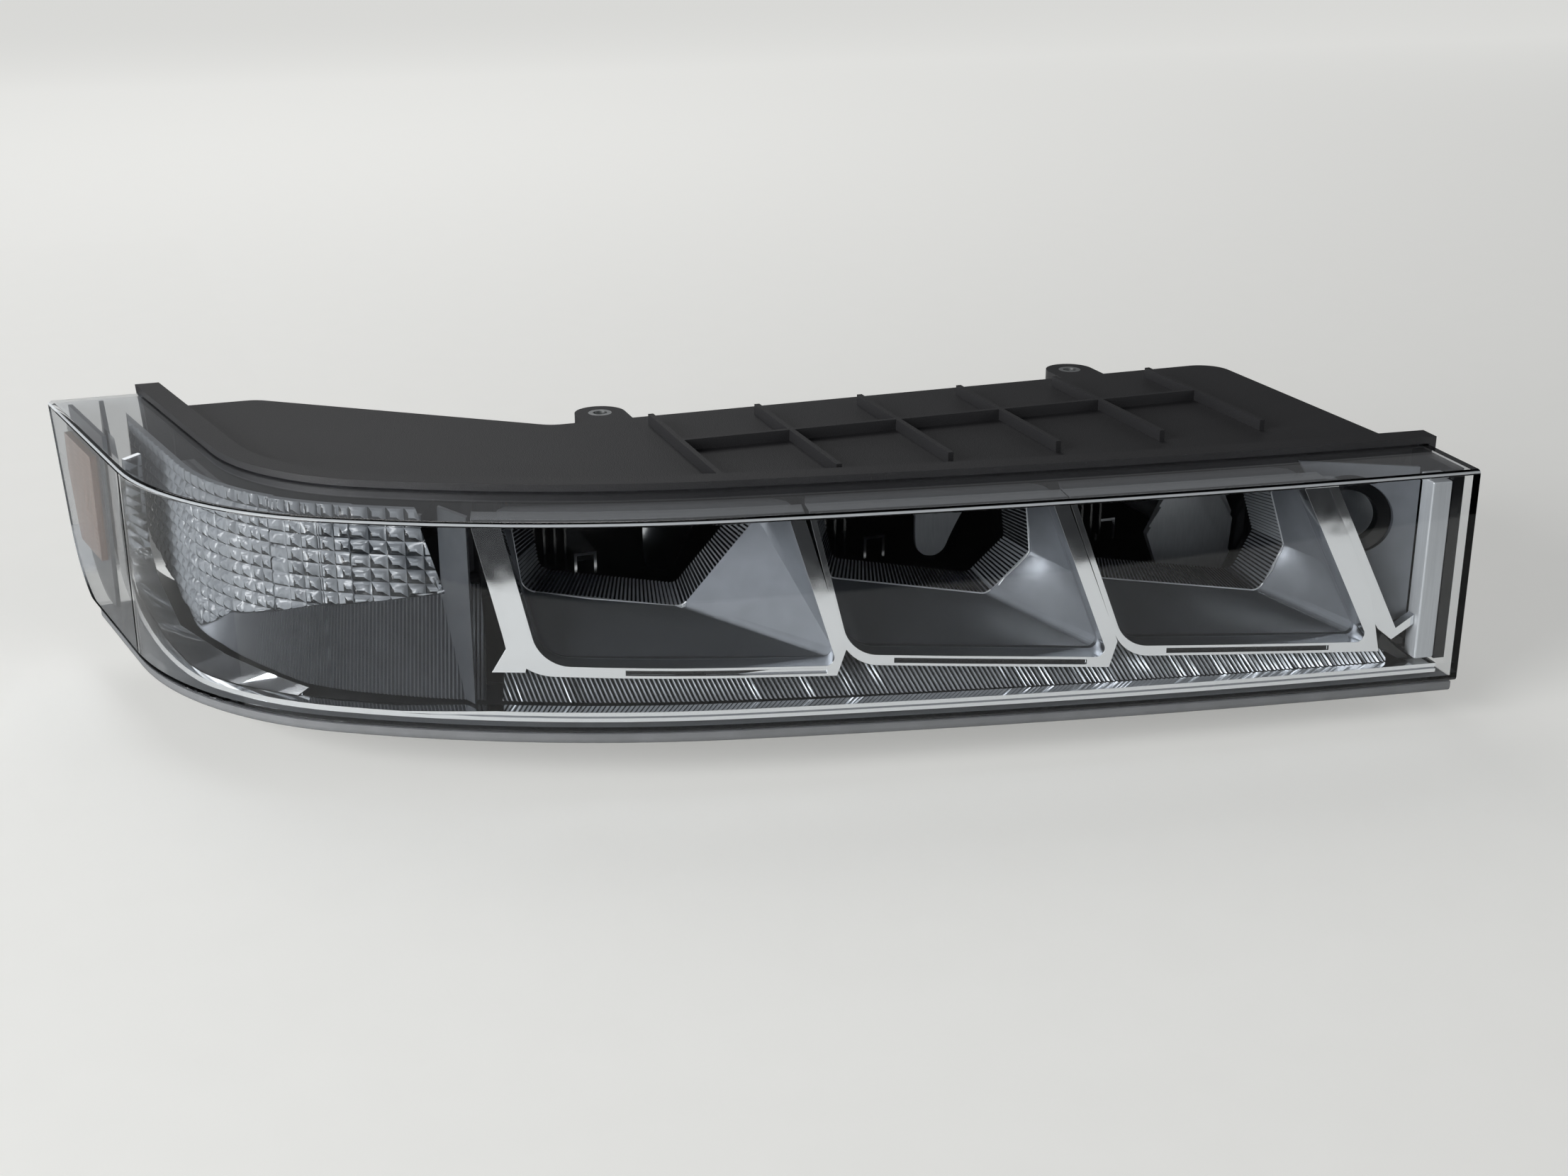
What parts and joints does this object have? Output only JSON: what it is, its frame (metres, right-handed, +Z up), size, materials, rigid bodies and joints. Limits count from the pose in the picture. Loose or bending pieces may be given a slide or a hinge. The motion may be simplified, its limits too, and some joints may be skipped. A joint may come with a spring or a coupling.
{
  "type": "vehicle headlamp unit",
  "caption": "Wrap-around right-hand headlamp unit with clear lens, framed scoops, pillow-lens turn signal and tilting beam units.",
  "frame": {"origin": "centre of the upper inner fixing bush's bore, in the bracket behind the housing's roof", "axes": "+X towards the middle of the vehicle, +Y rearwards, +Z up; the lamp shines towards -Y and wraps round its -X end"},
  "size_m": [0.5788, 0.3354, 0.1198],
  "materials": {
    "amber_acrylic": "amber reflex acrylic",
    "amber_glass": "amber lacquered bulb glass",
    "bare_aluminium": "die-cast aluminium",
    "black_polypropylene": "talc-filled black polypropylene, fine grain",
    "black_rubber": "black rubber",
    "bright_metallised": "aluminium vapour coat under clear lacquer",
    "clear_acrylic": "moulded clear acrylic with pillow optics",
    "clear_polycarbonate": "hard-coated clear polycarbonate",
    "dark_satin": "dark satin moulded plastic with fine ribs",
    "gloss_black": "gloss black moulded plastic",
    "grey_rubber": "grey sealing rubber",
    "grey_sealant": "butyl sealant",
    "satin_silver": "satin silver paint on moulded plastic",
    "zinc_steel": "zinc-plated steel"
  },
  "bodies": {
    "lamp": {"aim_knob": "black_polypropylene", "aim_screw": "zinc_steel", "aperture_collars": "dark_satin", "bezel_frames": "bright_metallised", "bezel_scoops": "satin_silver", "bezel_skirt": "dark_satin", "black_end": "gloss_black", "bulb_holder": "black_polypropylene", "corner_bevel": "bright_metallised", "corner_trim": "bright_metallised", "driver_module": "bare_aluminium", "end_cup": "bright_metallised", "end_panel": "satin_silver", "end_ring": "gloss_black", "end_trim": "bright_metallised", "end_wedge": "gloss_black", "fixing_brackets": "black_polypropylene", "fixing_bushes": "zinc_steel", "housing": "black_polypropylene", "lens_seal": "grey_sealant", "light_bar": "satin_silver", "lower_gasket": "grey_rubber", "outer_lens": "clear_polycarbonate", "pivot_blocks": "black_polypropylene", "rib_strip": "dark_satin", "side_panel": "dark_satin", "side_reflex": "amber_acrylic", "turn_bulb": "amber_glass", "turn_chamber": "bright_metallised", "turn_lens": "clear_acrylic", "turn_surround": "dark_satin", "vent_caps": "black_rubber", "wiring_socket": "black_polypropylene"},
    "beam_carrier": {"aim_frame": "black_polypropylene", "beam_reflector_1": "bright_metallised", "beam_reflector_2": "bright_metallised", "beam_reflector_3": "bright_metallised", "beam_shroud_1": "gloss_black", "beam_shroud_2": "gloss_black", "beam_shroud_3": "gloss_black", "heat_sink_1": "bare_aluminium", "heat_sink_2": "bare_aluminium", "heat_sink_3": "bare_aluminium", "light_source_1": "bright_metallised", "light_source_2": "bright_metallised", "light_source_3": "bright_metallised"}
  },
  "joints": [
    {"name": "beam_aim", "type": "hinge", "parent": "lamp", "child": "beam_carrier", "pos_m": [-0.1435, -0.089, -0.04], "axis": [1, 0, 0], "range_deg": [-3, 3]}
  ]
}
